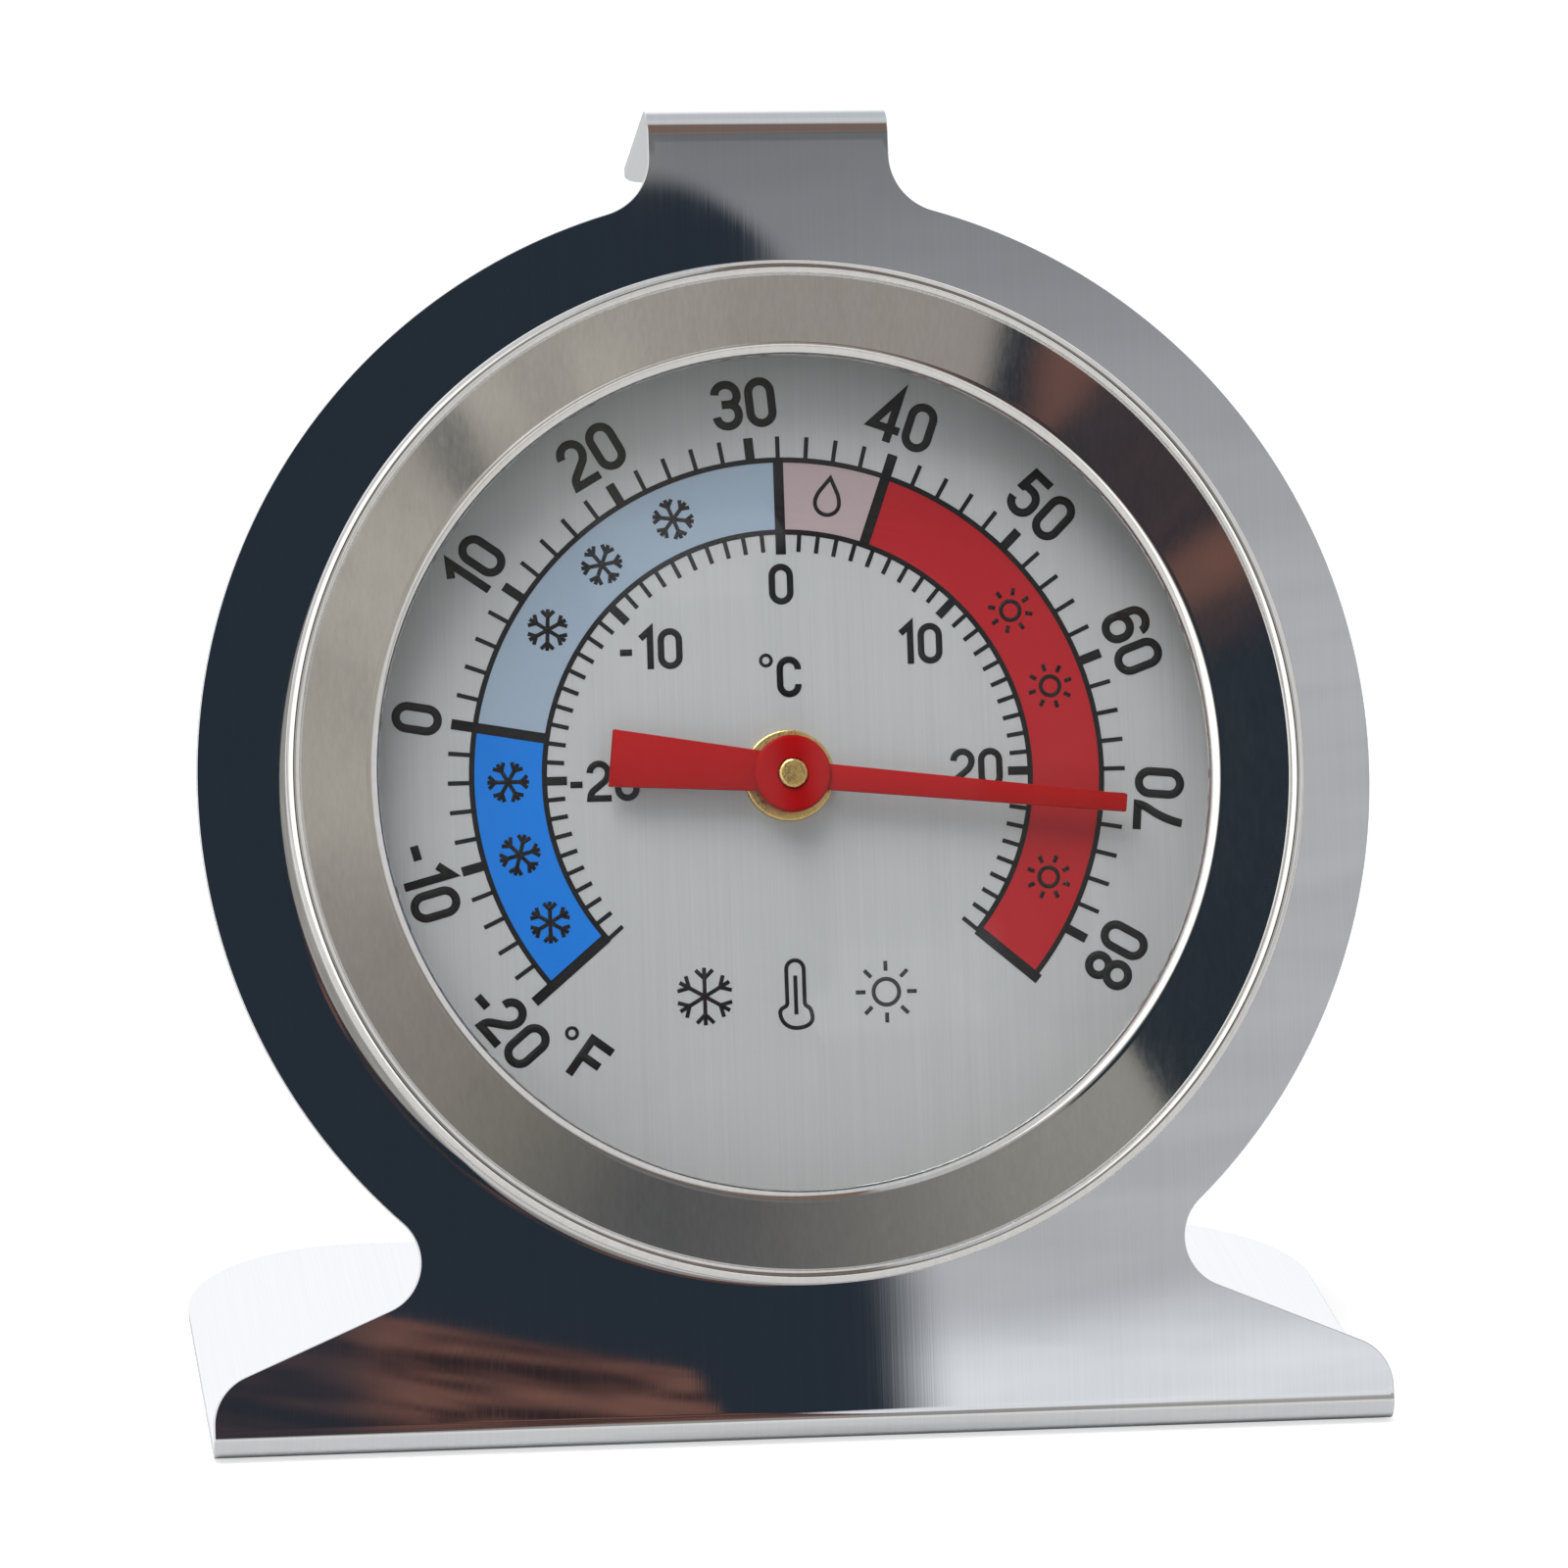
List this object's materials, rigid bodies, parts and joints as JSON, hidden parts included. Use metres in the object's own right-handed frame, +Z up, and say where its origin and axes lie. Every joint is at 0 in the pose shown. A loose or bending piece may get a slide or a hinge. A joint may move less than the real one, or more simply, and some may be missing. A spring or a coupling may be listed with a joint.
{
  "type": "refrigerator thermometer",
  "caption": "Round dial thermometer for a fridge or freezer: a leaning stainless plate with foot and top hook holds a glazed case with a red pointer over printed scales.",
  "frame": {"origin": "middle of the overall depth and width, on the surface that the foot stands on", "axes": "+Z up, +X to the viewer's right as the dial is read, +Y from the dial towards the back, so the dial faces -Y and leans back 20.5 degrees"},
  "size_m": [0.06, 0.035, 0.0634],
  "materials": {
    "stand_steel": "polished stainless sheet with a fine vertical grain",
    "case_steel": "drawn stainless, bright",
    "bezel_steel": "polished stainless, mirror bright",
    "lens_glass": "clear flat glass",
    "gasket": "matte",
    "spacer": "matte moulded",
    "dial_face": "fine vertical brushing under printed scales",
    "brass_parts": "turned, satin",
    "movement_steel": "stamped, satin",
    "rivet_steel": "satin, headed over",
    "bimetal": "rolled strip, slightly warm on one side",
    "pointer_red": "red enamel, semi-gloss"
  },
  "bodies": {
    "housing": {"stand_plate": "stand_steel", "rear_case": "case_steel", "bezel": "bezel_steel", "lens": "lens_glass", "lens_gasket": "gasket", "spacer_ring": "spacer", "dial_plate": "dial_face", "front_bush": "brass_parts", "bridge": "movement_steel", "rear_bush": "brass_parts", "bridge_rivets": "rivet_steel", "coil_post": "brass_parts", "coil_rivet": "rivet_steel", "bimetal_coil": "bimetal"},
    "needle": {"arbor": "brass_parts", "coil_collet": "brass_parts", "collet_pin": "rivet_steel", "thrust_washers": "brass_parts", "pointer_boss": "brass_parts", "pointer": "pointer_red"}
  },
  "joints": [
    {"name": "pointer_turn", "type": "hinge", "parent": "housing", "child": "needle", "pos_m": [0, -0.00471, 0.03175], "axis": [0, 0.9367, -0.3502], "range_deg": [-226.25, 34.25], "stiffness_Nm_per_rad": 0.0002, "deforming": ["bimetal_coil"]}
  ]
}
